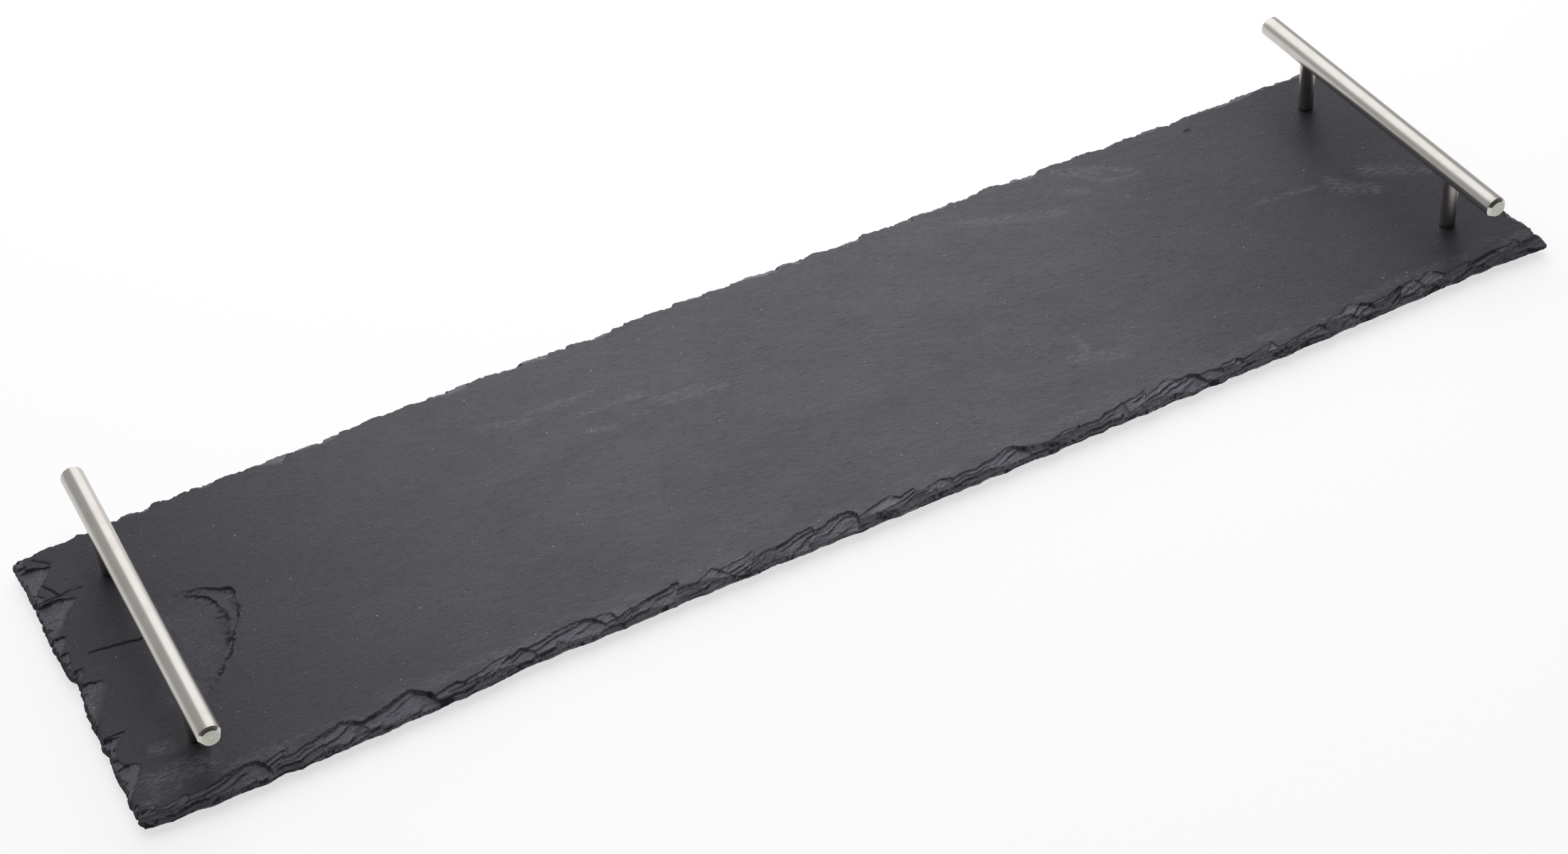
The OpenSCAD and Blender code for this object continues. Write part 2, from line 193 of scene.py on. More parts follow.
def riven_slate(stone):
    """Riven slate: fine-grained beds split along the cleavage, which give a dark satin face with
    streaks that run with the grain, pale flecks, and matt crushed stone where it was chipped. Painted
    shade darkens its ends, its steep faces and its steps"""
    material, tree = new_material("riven_slate")
    point = add_node(tree, "TexCoord").outputs["Object"]
    parts = add_node(tree, "SeparateXYZ", {0: point})
    # The grain turns slowly from the left end to the right
    from_left = add_node(tree, "Math", {0: parts.outputs[0], 1: 0.3}, operation="ADD")
    bend = add_node(tree, "Math", {0: from_left, 1: from_left}, operation="MULTIPLY")
    across = add_node(tree, "Math", {0: bend, 1: 0.3, 2: parts.outputs[1]}, operation="MULTIPLY_ADD")
    grain = add_node(tree, "CombineXYZ", {0: parts.outputs[0], 1: across, 2: parts.outputs[2]})
    # Real slate has grains well under 0.1 mm, so the fine layers are drawn as coarse as they need to show
    layer = {}
    for name, long_mm, wide_mm, detail in (("fine", 1.2, 0.6, 4.0), ("broad", 6.5, 2.6, 4.0),
                                           ("blotch", 40.0, 22.0, 3.0), ("dash", 4.5, 0.5, 1.0),
                                           ("scuff", 2.8, 1.1, 5.0), ("grit", 0.7, 0.6, 3.0)):
        stretched = add_node(tree, "Mapping", {"Vector": grain,
                             "Scale": (1 / (long_mm * MM), 1 / (wide_mm * MM), 1 / (wide_mm * MM))})
        layer[name] = add_node(tree, "TexNoise", {"Vector": stretched, "Scale": 1.0,
                               "Detail": detail, "Roughness": 0.6})
    flecks = []
    for cell_mm, radius, keep in ((1.6, 0.12, 0.86), (5.0, 0.065, 0.70)):
        cells = add_node(tree, "TexVoronoi", {"Vector": point, "Scale": 1 / (cell_mm * MM)})
        near = add_node(tree, "MapRange", {0: cells.outputs["Distance"], 1: radius * 0.6,
                                                     2: radius, 3: 0.8, 4: 0.0})
        chosen = add_node(tree, "SeparateXYZ", {0: cells.outputs["Color"]})
        kept = add_node(tree, "MapRange", {0: chosen.outputs[0], 1: keep, 2: keep + 0.08})
        flecks.append(add_node(tree, "Math", {0: near, 1: kept}, operation="MULTIPLY"))
    smear, broken, crack_and_shade = (add_node(tree, "Attribute", attribute_name=name).outputs["Fac"]
                            for name in ("smear", "broken", "crack_and_shade"))

    # Painted shade: the stone is darker towards its ends, either side of a point 20 mm right of its middle
    off_middle = add_node(tree, "Math", {0: parts.outputs[0], 1: 0.02}, operation="SUBTRACT")
    off_middle = add_node(tree, "Math", {0: off_middle}, operation="ABSOLUTE")
    ends = add_node(tree, "MapRange", {0: off_middle, 1: 0.1, 2: 0.28, 3: 0.0, 4: 1.0})
    beds = layer["fine"]
    for name, weight in (("broad", 0.5), ("blotch", 0.7), ("grit", 0.8)):
        beds = add_node(tree, "Math", {0: layer[name], 1: weight, 2: beds}, operation="MULTIPLY_ADD")
    beds = add_node(tree, "MapRange", {0: beds, 1: 1.3, 2: 1.7})
    # Crumbs of broken stone are pale, and less so at the ends, where painted shade darkens them
    crumbs = add_node(tree, "MapRange", {0: layer["grit"], 1: 0.25, 2: 0.7, 3: 0.5, 4: 1.0})
    crumbs = add_node(tree, "Math", {0: crumbs, 1: broken}, operation="MULTIPLY")
    pale = add_node(tree, "Math", {0: ends, 1: -0.4, 2: 1.0}, operation="MULTIPLY_ADD")
    crumbs = add_node(tree, "Math", {0: crumbs, 1: pale}, operation="MULTIPLY")
    # Dark dashes in the grain, the cracks, and painted shade on steep faces, on the steps' risers and in
    # hollows
    dashes_and_shade = add_node(tree, "MapRange", {0: layer["dash"], 1: 0.62, 2: 0.74, 4: 0.55})
    dashes_and_shade = add_node(tree, "Math", {0: dashes_and_shade, 1: crack_and_shade}, operation="MAXIMUM")
    torn = add_node(tree, "MapRange", {0: layer["scuff"], 1: 0.38, 2: 0.7, 4: 0.75})
    scuffs = add_node(tree, "Math", {0: smear, 1: torn}, operation="MULTIPLY")
    colour = stone.dark[:]
    for share, over in ((beds, stone.light[:]), (ends, PAINTED_END_SHADE), (crumbs, stone.fresh[:]),
                        (dashes_and_shade, CRACK_AND_SHADE_DARK), (scuffs, stone.bruise[:]), (flecks[0], stone.fleck[:]),
                        (flecks[1], stone.fleck[:])):
        colour = add_node(tree, "Mix", {0: share, 6: colour, 7: over}, data_type="RGBA").outputs[2]
    rough = add_node(tree, "MapRange", {0: layer["fine"], 1: 0.3, 2: 0.7, 3: 0.30, 4: 0.48})
    # Crushed stone, the ends and above all the cracks and steep faces are rougher
    for more, share in ((broken, 0.08), (ends, 0.12), (crack_and_shade, 0.5)):
        rough = add_node(tree, "Math", {0: more, 1: share, 2: rough}, operation="MULTIPLY_ADD")
    height = layer["fine"]
    for more, share in ((layer["grit"], 0.7), (layer["broad"], 1.5), (dashes_and_shade, -1.0)):
        height = add_node(tree, "Math", {0: more, 1: share, 2: height}, operation="MULTIPLY_ADD")
    bump = add_node(tree, "Bump", {"Strength": 1.0, "Distance": 0.13 * MM, "Height": height})
    finish_material(tree, {"Base Color": colour, "Roughness": rough, "IOR": 1.62,
                           "Specular Tint": COOL_SHEEN, "Normal": bump})
    return material


def brushed_steel(name, colour, lines_mm, roughness):
    """Stainless steel drawn through an abrasive belt: bright, with streaks that run with the work.

    A belt's lines are a few hundredths of a millimetre apart, too fine to show, so they are drawn coarser
    """
    material, tree = new_material(name)
    point = add_node(tree, "TexCoord").outputs["Object"]
    stretched = add_node(tree, "Mapping", {"Vector": point,
                         "Scale": tuple(1 / (length * MM) for length in lines_mm)})
    lines = add_node(tree, "TexNoise", {"Vector": stretched, "Scale": 1.0,
                     "Detail": 3.0, "Roughness": 0.65})
    clouds = add_node(tree, "TexNoise", {"Vector": point, "Scale": 1 / (9 * MM), "Detail": 3.0})
    worn = add_node(tree, "Math", {0: clouds, 1: 0.5, 2: lines}, operation="MULTIPLY_ADD")
    shade = add_node(tree, "MapRange", {0: worn, 1: 0.45, 2: 1.05, 3: 0.88, 4: 1.0})
    tint = add_node(tree, "Mix", {0: 1.0, 6: colour, 7: shade}, data_type="RGBA",
                    blend_type="MULTIPLY").outputs[2]
    warmth = add_node(tree, "MapRange", {0: clouds, 1: 0.45, 2: 0.7, 4: 0.16})
    tint = add_node(tree, "Mix", {0: warmth, 6: tint, 7: WARM_STEEL}, data_type="RGBA").outputs[2]
    rough = add_node(tree, "MapRange", {0: worn, 1: 0.45, 2: 1.05,
                                                  3: roughness - 0.05, 4: roughness + 0.07})
    bump = add_node(tree, "Bump", {"Strength": 1.0, "Distance": 0.0025 * MM, "Height": lines})
    finish_material(tree, {"Base Color": tint, "Metallic": 1.0, "Roughness": rough, "Normal": bump})
    return material


def turned_steel(colour, bar_x, bar_z):
    """Stainless steel faced on a lathe: fine rings round the middle of each end face.

    The tool's real feed is about 0.1 mm a turn, too fine to show, so the rings are drawn wider apart
    """
    material, tree = new_material("turned_stainless_steel")
    point = add_node(tree, "TexCoord").outputs["Object"]
    parts = add_node(tree, "SeparateXYZ", {0: point})
    # Both bars fold onto one axis, so that one pattern serves all four ends
    middle = sum(bar_x) / 2
    shifted = add_node(tree, "Math", {0: parts.outputs[0], 1: middle}, operation="SUBTRACT")
    folded = add_node(tree, "Math", {0: shifted}, operation="ABSOLUTE")
    sideways = add_node(tree, "Math", {0: folded, 1: abs(bar_x[0] - middle)}, operation="SUBTRACT")
    upwards = add_node(tree, "Math", {0: parts.outputs[2], 1: bar_z}, operation="SUBTRACT")
    spoke = add_node(tree, "CombineXYZ", {0: sideways, 2: upwards})
    radius = add_node(tree, "VectorMath", {0: spoke}, operation="LENGTH")
    rings = add_node(tree, "TexNoise", {"W": radius.outputs["Value"], "Scale": 1 / (0.42 * MM),
                     "Detail": 2.0}, noise_dimensions="1D")
    haze = add_node(tree, "TexNoise", {"Vector": point, "Scale": 1 / (2.5 * MM), "Detail": 2.0})
    worn = add_node(tree, "Math", {0: haze, 1: 0.4, 2: rings}, operation="MULTIPLY_ADD")
    shade = add_node(tree, "MapRange", {0: worn, 1: 0.45, 2: 0.9, 3: 0.62, 4: 1.0})
    tint = add_node(tree, "Mix", {0: 1.0, 6: colour, 7: shade}, data_type="RGBA",
                    blend_type="MULTIPLY").outputs[2]
    bump = add_node(tree, "Bump", {"Strength": 1.0, "Distance": 0.02 * MM, "Height": rings})
    finish_material(tree, {"Base Color": tint, "Metallic": 1.0, "Roughness": 0.42, "Normal": bump})
    return material


def matt_stock(name, colour, grain_mm, roughness, spread):
    """Matt pressed or moulded stock, with a fine mottle that breaks up its shine"""
    material, tree = new_material(name)
    point = add_node(tree, "TexCoord").outputs["Object"]
    fine = add_node(tree, "TexNoise", {"Vector": point, "Scale": 1 / (grain_mm * MM),
                    "Detail": 3.0, "Roughness": 0.6})
    broad = add_node(tree, "TexNoise", {"Vector": point, "Scale": 1 / (12 * grain_mm * MM),
                     "Detail": 2.0})
    both = add_node(tree, "Math", {0: broad, 1: 0.6, 2: fine}, operation="MULTIPLY_ADD")
    shade = add_node(tree, "MapRange", {0: both, 1: 0.5, 2: 1.1, 3: 1 - spread, 4: 1 + spread})
    tint = add_node(tree, "Mix", {0: 1.0, 6: colour, 7: shade}, data_type="RGBA",
                    blend_type="MULTIPLY").outputs[2]
    rough = add_node(tree, "MapRange", {0: both, 1: 0.5, 2: 1.1,
                                                  3: roughness - 0.06, 4: roughness + 0.06})
    bump = add_node(tree, "Bump", {"Strength": 1.0, "Distance": 0.02 * MM, "Height": fine})
    finish_material(tree, {"Base Color": tint, "Roughness": rough, "IOR": 1.5, "Normal": bump})
    return material


# ---- meshes

def new_piece(name, bm, materials):
    """Object from a bmesh, at the origin"""
    mesh = bpy.data.meshes.new(name)
    bm.to_mesh(mesh)
    bm.free()
    for material in materials:
        mesh.materials.append(material)
    piece = bpy.data.objects.new(name, mesh)
    bpy.context.scene.collection.objects.link(piece)
    return piece


def spin_shell(bm, profile, centre, axis, steps):
    """Spin a profile of (radius, distance along the axis) points into a closed shell"""
    out = axis.orthogonal().normalized()
    points = [bm.verts.new(centre + out * radius + axis * along) for radius, along in profile]
    edges = [bm.edges.new(pair) for pair in zip(points, points[1:])]
    bmesh.ops.spin(bm, geom=points + edges, cent=centre, axis=axis, angle=2 * math.pi, steps=steps,
                   use_merge=True)
    bmesh.ops.remove_doubles(bm, verts=bm.verts, dist=SHELL_MERGE)
    bmesh.ops.dissolve_degenerate(bm, dist=SHELL_MERGE, edges=bm.edges)
    bmesh.ops.recalc_face_normals(bm, faces=bm.faces)


def bevel_sharp(bm, offset, angle=math.radians(25)):
    """Round every edge that is sharper than the angle"""
    sharp = [e for e in bm.edges if e.is_manifold and e.calc_face_angle() > angle]
    bmesh.ops.bevel(bm, geom=sharp, offset=offset, affect="EDGES", segments=2, profile=0.5, material=-1,
                    clamp_overlap=True)


def shade_smooth(bm, angle=math.radians(32)):
    """Smooth shading, except across sharp edges"""
    for face in bm.faces:
        face.smooth = True
    for edge in bm.edges:
        edge.smooth = not edge.is_manifold or edge.calc_face_angle() < angle


def carve(piece, cutters):
    """Cut the closed shells of some other objects out of a piece"""
    for cutter in cutters:
        cut = piece.modifiers.new("cut", "BOOLEAN")
        cut.operation, cut.solver, cut.object = "DIFFERENCE", "EXACT", cutter
    ready = piece.evaluated_get(bpy.context.evaluated_depsgraph_get())
    mesh = bpy.data.meshes.new_from_object(ready)
    # A cut can leave slivers, and faces of many sides that fold over when they are split later
    bm = bmesh.new()
    bm.from_mesh(mesh)
    bmesh.ops.remove_doubles(bm, verts=bm.verts, dist=CUT_MERGE)
    bmesh.ops.dissolve_degenerate(bm, edges=bm.edges, dist=CUT_MERGE)
    bmesh.ops.triangulate(bm, faces=[face for face in bm.faces if len(face.verts) > 4])
    bm.to_mesh(mesh)
    bm.free()
    old = piece.data
    piece.modifiers.clear()
    piece.data = mesh
    name = old.name
    bpy.data.meshes.remove(old)
    mesh.name = name
    for cutter in cutters:
        spare = cutter.data
        bpy.data.objects.remove(cutter)
        bpy.data.meshes.remove(spare)


def rod_cutter(centre, axis, radius, start, end, steps=64):
    """Plain round rod that cuts a hole"""
    bm = bmesh.new()
    spin_shell(bm, [(0, start), (radius, start), (radius, end), (0, end)], centre, axis, steps)
    return new_piece("cutter", bm, ())


def dress(piece, node):
    """A piece that stands in for one CAD node"""
    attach(piece, "root")
    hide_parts(node)


def middle_of(node):
    """Middle, lowest and highest corner of a node's box"""
    low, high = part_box(node)
    return (Vector(low) + Vector(high)) / 2, Vector(low), Vector(high)


# ---- slate

# Scuffs on the face: both ends of each, then half its width
SMEARS_MM = (
    (-117, 48, -100, 43, 1.6), (-97, 47, -71, 44, 1.7), (-82, 35, -56, 33, 1.6), (-82, 24, -72, 21.5, 1.3),
    (-62, 24, -57, 22, 1.1), (-52, 27, -33, 25, 1.5), (-48, 23, -24.5, 20.5, 1.5),
    (106, -28, 106.5, -39, 1.6), (100, -40, 116, -47, 3.0), (106, 59, 145, 42, 2.1),
    (155, 54, 162, 48, 1.6), (157, 69, 167, 59, 1.6), (161, 65, 172, 59.5, 2.6), (158.5, 68, 174, 62, 0.9),
    (174, 62, 188, 48, 0.9), (158.5, 68, 170, 52, 0.9), (170, 52, 188, 48, 0.9),
    (250, -6, 262, -13.5, 3.2), (266, -1, 282, -11, 3.4), (249, 1.5, 252, -2, 2.0),
    (284, -12, 288, -16, 1.8), (217, 4, 243, 0, 0.8), (57.5, 64, 59, 63, 0.8), (45, -65, 47, -65.5, 0.8),
    (97, -71, 107, -73.5, 1.6),
    (-152, -69, -105, -73, 2.4), (-288, -61, -270, -63, 4.6), (-283, -47, -279, -48, 2.6))

# Fine dark cracks in the face: both ends of each, then half its width
CRACKS_MM = ((-288, 11.7, -266, 7.6, 0.8), (-299, 46, -280, 46.5, 0.5), (-297, -33, -290, -33, 0.5),
             (-292, 70, -287, 65, 0.6), (-293, 55, -289, 47, 0.6), (219, 63.3, 222, 62, 0.45))

# Curved steps in the face on the left, each from its rear end to its front end
STEPS_MM = (
    ((-250.2, 24), (-247.8, 23), (-242.8, 22.1), (-236.5, 19.6), (-232.8, 15.2), (-231.9, 10.2),
     (-233.4, 4), (-235.9, -2.2), (-240.9, -9.8), (-243.4, -15.4), (-249, -22.2), (-257.8, -31.6)),
    ((-249, 22.1), (-245.2, 19.6), (-241.5, 15.9), (-239, 10.2), (-238.4, 9), (-238.8, 2.8),
     (-240.2, -3.5), (-241.5, -8.5)))

# Facets that the photograph shows along the rim: start, end, reach inwards, drop at the rim and step down
# at the ridge. A facet is a tilted plane that starts from nothing and ends at a small riser
FACETS_MM = {
    "left": ((19, 45.5, 18, 2.4, 0.1), (47, 66, 14, 1.8, 0.3), (-30, -3, 13, 1.4, 0.0),
             (-44, -33, 9, 2.4, 0.0), (-67, -48, 11, 1.6, 0.2), (67, 76, 7, 1.6, 0.4)),
    "right": ((40, 66, 7, 1.5, 0.2), (-20, 8, 6, 1.4, 0.2), (-60, -38, 8, 1.6, 0.2)),
    "rear": ((-206, -188, 8.5, 1.5, 0.1), (-120, -86, 5, 1.2, 0.1), (54, 66, 6, 1.6, 0.2),
             (83, 91, 7, 1.8, 0.2), (126, 151, 6.3, 2.4, 0.85), (192, 262, 6.5, 1.4, 0.1),
             (266, 294, 7.5, 1.6, 0.1)),
    "front": ((-292, -250, 10, 2.6, 0.9), (-262, -214, 10.5, 2.2, 0.8), (-236, -188, 12, 2.4, 1.2),
              (-180, -120, 10, 2.2, 0.8), (-30, 4, 9, 1.4, 0.3), (96, 128, 10, 1.3, 0.3),
              (224, 252, 9, 1.5, 0.4)),
}

# Stretches of a side where no other facet ends, because the photograph shows them unbroken
UNBROKEN_MM = {"rear": (118, 128)}

# Where three of the slate's corners end, by their place in the unit grid
CORNERS_MM = {(0, 0): (-299.0, -77.2), (1, 0): (300.3, -78.8), (0, 1): (-299.4, 75.0)}
# How much each of them is blunted, and the room that the blunt tip takes
BLUNT_MM = {(0, 0): (2.4, 4.4), (1, 0): (1.0, 2.4), (0, 1): (0.6, 2.0)}

# Sizes of the other facets of each side: shortest and longest, least and greatest reach and drop
KNAPPING_MM = {
    "front": ((22, 52, 5.5, 10.0, 1.4, 3.2), (11, 28, 4.0, 8.0, 2.0, 3.8), (5, 13, 2.0, 4.8, 3.0, 4.4)),
    "rear": ((24, 50, 3.0, 6.5, 1.2, 2.6), (10, 24, 2.0, 4.5, 2.0, 3.6), (4, 12, 1.0, 3.0, 2.6, 4.2)),
    "left": ((10, 24, 4.0, 8.0, 1.2, 2.6), (7, 15, 3.0, 6.5, 1.4, 3.0), (5, 11, 0.8, 2.4, 3.0, 4.2)),
    "right": ((10, 26, 3.0, 6.0, 1.4, 3.0), (6, 14, 2.0, 4.0, 2.4, 4.2), (3, 8, 1.0, 2.6, 3.0, 4.4)),
}

# Width in mm of the plain broken slope of each side, and the height in mm of its foot
SLOPES_MM = {"front": (3.4, 0.7), "rear": (1.8, 1.4), "left": (1.8, 0.7), "right": (2.0, 0.8)}

# Faces of the grid before it is cut finer
GRID_FACES = (100, 36)
# Width in mm of the bands at the front, rear, left and right that are cut finer each time, and the
# room round a scuff or crack and round a step
BANDS_MM = ((28, 18, 32, 22, 7, 6), (20, 11, 24, 12, 2.5, 3.0), (11.5, 6.5, 13, 7, None, 2.2),
            (6.8, None, 6.3, None, None, 0.9))

# Room in mm that the outline keeps inside the CAD box, along it and across it
INSET_MM = (0.15, 0.1)
# Round a corner, in mm: where its pull is full and where it ends
CORNER_PULL_MM = (1.5, 20.0)
# Round a post, in mm: where the face is flat and where it is as it was
POST_FLAT_MM = (4.5, 12)
# Depth in mm of a fine crack, and height of the crumbs behind a step and of what they lie on
GROOVE_MM, CRUMB_MM, CRUMB_BED_MM = 0.16, 0.30, 0.10
# Thickness in mm of the stone's beds along the front and elsewhere
FRONT_BED_MM, BED_MM = 1.15, 0.8
# Rows of the wall from the rim down: share of its height that is left, and room inwards in mm
WALL_ROWS = ((0.5, 0.06), (0.12, 0.10), (0.0, 0.45))
# How dark the painted shade on the steep faces is along the rear, at the ends and along the front
STEEP_REAR, STEEP_ENDS, STEEP_FRONT = 0.45, 0.7, 0.9

# How far in mm the broken rim reaches inwards, and a distance that is past every facet
RIM_BAND_MM = 24
PAST_FACETS_MM = 99
# Rays along the rim in mm: the gap between them, the room at a corner and how far outside they start
RAY_GAP_MM, RAY_CORNER_MM, RAY_START_MM = 0.5, 1.5, 50

# Noise over the stone: the size in mm of its features, and its seed
NOISE = {
    # The broken rim's slope, and where its beds lie, split and step
    "slope": (12.0, 13.0), "bed_sway": (9.0, 17.0), "bed_split": (1.3, 5.0), "bed_step": (3.0, 19.0),
    # How the facets wander, and the combed marks on them
    "wobble": (2.6, 11.0), "jag": (2.2, 23.0), "sway": (9.0, 31.0), "grain": (0.9, 47.0),
    "comb": (3.2, 91.0),
    # The riven face
    "wave": (52.0, 3.0), "ripple": (21.0, 5.0), "front_band": (5.0, 37.0), "crack_sway": (3.5, 83.0),
    # The curved steps
    "step_sway": (5.0, 61.0), "step_jag": (1.6, 67.0), "step_drift": (3.0, 73.0), "step_gaps": (6.0, 79.0),
    "crumbs": (1.5, 97.0),
}
FACET_DRAWS = 7  # seed of the random facets


def segment_distance(x, y, ax, ay, bx, by):
    """Distance from points to one straight line piece"""
    dx, dy = bx - ax, by - ay
    share = np.clip(((x - ax) * dx + (y - ay) * dy) / (dx * dx + dy * dy), 0, 1)
    return np.hypot(x - ax - share * dx, y - ay - share * dy)


def smooth(value, low, high):
    """Smooth step from 0 at low to 1 at high"""
    share = np.clip((value - low) / (high - low), 0, 1)
    return share * share * (3 - 2 * share)


def noise_at(x, y, kind):
    """Signed noise of one kind over points in mm"""
    size_mm, seed = NOISE[kind]
    return np.array([noise.noise((px / size_mm, py / size_mm, seed)) for px, py in zip(x, y)])


class Rim:
    """Outline of the CAD slate, read along horizontal rays"""

    def __init__(self):
        node = bpy.data.objects["slate_board"]
        mesh = node.data
        tree = BVHTree.FromPolygons([v.co for v in mesh.vertices], [p.vertices for p in mesh.polygons])
        _, low, high = middle_of("slate_board")
        self.low, self.high = low / MM, high / MM
        self.low_z, self.top_z = self.low.z, self.high.z
        self.lines, self.sign = {}, {}
        for side, axis, sign in (("left", 0, 1), ("right", 0, -1), ("front", 1, 1), ("rear", 1, -1)):
            other = 1 - axis
            along = np.arange(self.low[other] + RAY_CORNER_MM, self.high[other] - RAY_CORNER_MM + 0.01,
                              RAY_GAP_MM)
            start = (self.low if sign > 0 else self.high)[axis] - RAY_START_MM * sign
            found = []
            for height in (self.low_z + 0.2, self.top_z - 0.05):
                hits = []
                for s in along:
                    origin, way = Vector((0, 0, height * MM)), Vector((0, 0, 0))
                    origin[axis], origin[other], way[axis] = start * MM, s * MM, sign
                    hit, facing = tree.ray_cast(origin, way)[:2]
                    # Past a corner a ray meets the next side, which doesn't count
                    own = hit and abs(facing[axis]) > abs(facing[other])
                    hits.append(hit[axis] / MM if own else np.nan)
                found.append(np.array(hits))
            good = ~np.isnan(found[0]) & ~np.isnan(found[1])
            self.lines[side] = (along[good], found[0][good])
            self.sign[side] = sign

    def outer(self, side, s):
        """Outline of a side at distances s along it"""
        along, outer = self.lines[side]
        # Small bites between the ones that the solid has
        bites = np.array([max(0, noise.noise((p / 7.0, 3.7, len(side)))) * 1.5
                          + max(0, noise.noise((p / 2.4, 9.1, len(side)))) * 0.9 for p in s])
        # They are shallower along the front, and next to nothing at the right front corner
        share = 0.4 if side == "front" else np.where((side == "right") & (s < -62), 0.1, 1.0)
        return np.interp(s, along, outer) + self.sign[side] * bites * share


def rim_facets(side, rim, rng):
    """Facets along one side: start, end, reach, drop at the rim, step down at the ridge and slant of the
    riser"""
    along = rim.lines[side][0]
    first, last = along[0] - 4, along[-1] + 4
    facets = [(*facet, 0.0) for facet in FACETS_MM[side]]
    at_end = side in ("left", "right")
    chance, slants = (0.55, (-0.7, 0.5)) if at_end else (0.8, (-2.0, 0.6))
    for short, long, least, most, shallow, deep in KNAPPING_MM[side]:
        at = first - long * rng.uniform(0, 1)
        while at < last:
            size = rng.uniform(short, long)
            if rng.uniform() < chance:
                facets.append((at, at + size, rng.uniform(least, most), rng.uniform(shallow, deep),
                               max(0, rng.uniform(-0.3, 1.0)) * min(1, size / 20),
                               rng.uniform(*slants)))
            at += size * rng.uniform(0.45, 0.95)
    low, high = UNBROKEN_MM.get(side, (0, 0))
    return [facet for facet in facets if not low < facet[1] < high]


def broken_height(side, s, d, rim, rng):
    """Height in mm of the broken rim at distance s along a side and d inwards from it"""
    height = np.full(len(s), rim.top_z)
    near = d < RIM_BAND_MM
    sn, dn = s[near], d[near]
    width, foot = SLOPES_MM[side]
    width = width * (1 + 0.7 * noise_at(sn, 0 * sn, "slope"))
    result = rim.low_z + foot + (rim.top_z - rim.low_z - foot) * np.clip(dn / width, 0, 1) ** 0.85
    for start, end, reach, drop, lip, slant in rim_facets(side, rim, rng):
        share = (sn + slant * dn - start) / (end - start)
        ridge = share * np.clip((1 - share) / 0.16, 0, 1) ** 0.5
        plane = rim.top_z - lip - drop * np.maximum(share - dn / reach, 0)
        sunk = np.where(share > 0, smooth(ridge * reach - dn, 0, 0.3), 0)
        result = np.minimum(result, rim.top_z + (plane - rim.top_z) * sunk)
    # Beds of uneven thickness step the facets here and there
    bed = FRONT_BED_MM if side == "front" else BED_MM
    stack = (result / bed - sn / 34 + 0.5 * noise_at(sn, dn, "bed_sway")
             + 0.5 * noise_at(result, 0 * dn, "bed_split"))
    stair = np.floor(stack) + smooth(stack - np.floor(stack), 0.82, 1.0) + 0.4 - stack
    stepped = smooth(noise_at(sn / 4.0, dn, "bed_step"), -0.4, 0.1)
    result = np.where(result < rim.top_z - 0.05, result + 0.75 * bed * stepped * stair, result)
    height[near] = np.clip(result, rim.low_z + 0.5 * foot, rim.top_z)
    return height


def slate_grid(rim):
    """Unit grid, cut finer towards the rim, round the scuffs and along the steps"""
    bm = bmesh.new()
    bmesh.ops.create_grid(bm, x_segments=GRID_FACES[0], y_segments=GRID_FACES[1], size=1)
    bmesh.ops.translate(bm, vec=(1, 1, 0), verts=bm.verts)
    bmesh.ops.scale(bm, vec=(0.5, 0.5, 1), verts=bm.verts)
    length, width = rim.high.x - rim.low.x, rim.high.y - rim.low.y
    for front, rear, left, right, scuff, step in BANDS_MM:
        centres = np.array([f.calc_center_median()[:2] for f in bm.faces])
        x, y = rim.low.x + centres[:, 0] * length, rim.low.y + centres[:, 1] * width
        chosen = np.zeros(len(x), bool)
        for room, distance in ((front, y - rim.low.y), (rear, rim.high.y - y), (left, x - rim.low.x),
                               (right, rim.high.x - x)):
            if room:
                chosen |= distance < room
        if scuff:
            for ax, ay, bx, by, half in SMEARS_MM + CRACKS_MM:
                chosen |= segment_distance(x, y, ax, ay, bx, by) < half + scuff
        for line in STEPS_MM + tuple(((ax, ay), (bx, by)) for ax, ay, bx, by, _ in CRACKS_MM):
            for (ax, ay), (bx, by) in zip(line, line[1:]):
                chosen |= segment_distance(x, y, ax, ay, bx, by) < step
        bm.faces.ensure_lookup_table()
        edges = {e for i in np.flatnonzero(chosen) for e in bm.faces[i].edges}
        bmesh.ops.subdivide_edges(bm, edges=list(edges), cuts=1, use_grid_fill=True)
    return bm


def fill_outline(u, v, rim):
    """Place in mm of each point of the unit grid, and its gap to each side of the stone"""
    flat_x = rim.low.x + u * (rim.high.x - rim.low.x)
    flat_y = rim.low.y + v * (rim.high.y - rim.low.y)
    left, right = rim.outer("left", flat_y), rim.outer("right", flat_y)
    front, rear = rim.outer("front", flat_x), rim.outer("rear", flat_x)
    x, y = left + u * (right - left), front + v * (rear - front)
    # The corners reach further out than the sides' own lines
    for corner, tip in CORNERS_MM.items():
        at = int(np.argmin(np.hypot(u - corner[0], v - corner[1])))
        start = x[at], y[at]
        pull = 1 - smooth(np.hypot(x - start[0], y - start[1]), *CORNER_PULL_MM)
        x, y = x + pull * (tip[0] - start[0]), y + pull * (tip[1] - start[1])
        blunt, room = BLUNT_MM[corner]
        way_x, way_y = 1 - 2 * corner[0], 1 - 2 * corner[1]
        from_tip = (x - tip[0]) * way_x + (y - tip[1]) * way_y
        shift = 0.5 * blunt * np.clip(1 - from_tip / room, 0, 1)
        x, y = x + shift * way_x, y + shift * way_y
    x = np.clip(x, rim.low.x + INSET_MM[0], rim.high.x - INSET_MM[0])
    y = np.clip(y, rim.low.y + INSET_MM[1], rim.high.y - INSET_MM[1])
    side_gap = {"front": v * (rear - front), "rear": (1 - v) * (rear - front),
                "left": u * (right - left), "right": (1 - u) * (right - left)}
    return x, y, side_gap


